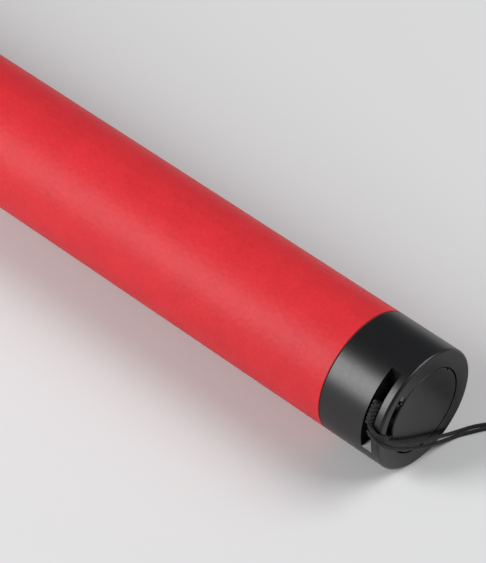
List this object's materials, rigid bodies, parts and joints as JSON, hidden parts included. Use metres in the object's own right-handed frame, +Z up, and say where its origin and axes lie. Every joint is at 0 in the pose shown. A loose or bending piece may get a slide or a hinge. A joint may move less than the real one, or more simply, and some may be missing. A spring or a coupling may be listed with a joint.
{
  "type": "traffic baton light",
  "caption": "Round red light baton with black handle, end torch, press buttons, charging port and a magnetic end cap with a wrist cord on its bar",
  "frame": {"origin": "middle of the baton's length and width, on the surface it lies on, without its wrist cord", "axes": "+X along the baton toward the lanyard cap, +Z up with the buttons on top, +Y to the left seen from the torch end looking along +X"},
  "size_m": [0.4583, 0.0544, 0.04],
  "materials": {
    "cap_plastic": "satin black moulded ABS with a fine leather grain",
    "red_diffuser": "satin red translucent polycarbonate with a fine leather grain",
    "black_rubber": "matte black rubber",
    "black_plastic": "matte black moulded ABS",
    "white_plastic": "white moulded ABS",
    "dark_aluminium": "black anodised aluminium",
    "nickel": "nickel plated steel",
    "magnet_nickel": "nickel plated magnet",
    "circuit_green": "solder-masked glass-fibre board",
    "white_board": "white coated aluminium-core board",
    "led_red": "clear red epoxy",
    "led_yellow": "phosphor under clear silicone",
    "clear_lens": "clear polycarbonate",
    "mirror_cup": "vacuum-metallised plastic",
    "red_button": "red silicone rubber",
    "battery_wrap": "blue shrink sleeve",
    "resistor_black": "black glazed chip",
    "wire_cover": "PVC insulation",
    "cord_fabric": "black braided polyester"
  },
  "bodies": {
    "root": {"tip_cap": "cap_plastic", "end_plate": "cap_plastic", "tip_magnet": "magnet_nickel", "tip_seal": "black_rubber", "diffuser_tube": "red_diffuser", "led_board": "circuit_green", "upper_leds": "led_red", "lower_leds": "led_red", "led_resistors": "resistor_black", "tip_spacer": "white_plastic", "middle_spacer": "white_plastic", "handle_spacer": "white_plastic", "led_leads": "wire_cover", "anti_roll_collar": "black_rubber", "tube_seal": "black_rubber", "handle_body": "black_plastic", "grip_sleeve": "black_rubber", "switch_frame": "black_plastic", "indicator_lens": "clear_lens", "control_board": "circuit_green", "tact_switches": "resistor_black", "board_screws": "nickel", "charge_board": "circuit_green", "usb_socket": "nickel", "port_door_pin": "nickel", "battery": "battery_wrap", "battery_cradle": "white_plastic", "battery_contact": "nickel", "battery_spring": "nickel", "torch_housing": "dark_aluminium", "emitter_board": "white_board", "torch_emitter": "led_yellow", "torch_leads": "wire_cover", "lanyard_hitch": "cord_fabric", "lanyard_strand_a": "cord_fabric", "lanyard_strand_b": "cord_fabric", "lanyard_hank": "cord_fabric", "lanyard_tie": "black_rubber", "lanyard_knot": "cord_fabric"},
    "light_button": {"light_button": "red_button"},
    "torch_button": {"torch_button": "black_rubber"},
    "port_door": {"port_door": "black_rubber"},
    "torch_optics": {"reflector": "mirror_cup", "torch_lens": "clear_lens", "lens_seal": "black_rubber"},
    "torch_bezel": {"torch_bezel": "dark_aluminium"}
  },
  "joints": [
    {"name": "light_button_press", "type": "slide", "parent": "root", "child": "light_button", "axis": [0, 0, -1], "range_m": [0, 0.0012], "stiffness_N_per_m": 800},
    {"name": "torch_button_press", "type": "slide", "parent": "root", "child": "torch_button", "axis": [0, 0, -1], "range_m": [0, 0.0012], "stiffness_N_per_m": 800},
    {"name": "port_door_open", "type": "hinge", "parent": "root", "child": "port_door", "pos_m": [-0.083, -0.0169, 0.026], "axis": [-1, 0, 0], "range_deg": [0, 100]},
    {"name": "torch_optics_out", "type": "slide", "parent": "root", "child": "torch_optics", "axis": [-1, 0, 0], "range_m": [0, 0.0045]},
    {"name": "torch_bezel_turn", "type": "hinge", "parent": "torch_optics", "child": "torch_bezel", "pos_m": [-0.205, 0, 0.02], "axis": [-1, 0, 0], "range_deg": [0, 1080]}
  ],
  "couplings": [
    {"joint": "torch_optics_out", "follows": "torch_bezel_turn", "m_per_rad": 0.00023873}
  ]
}
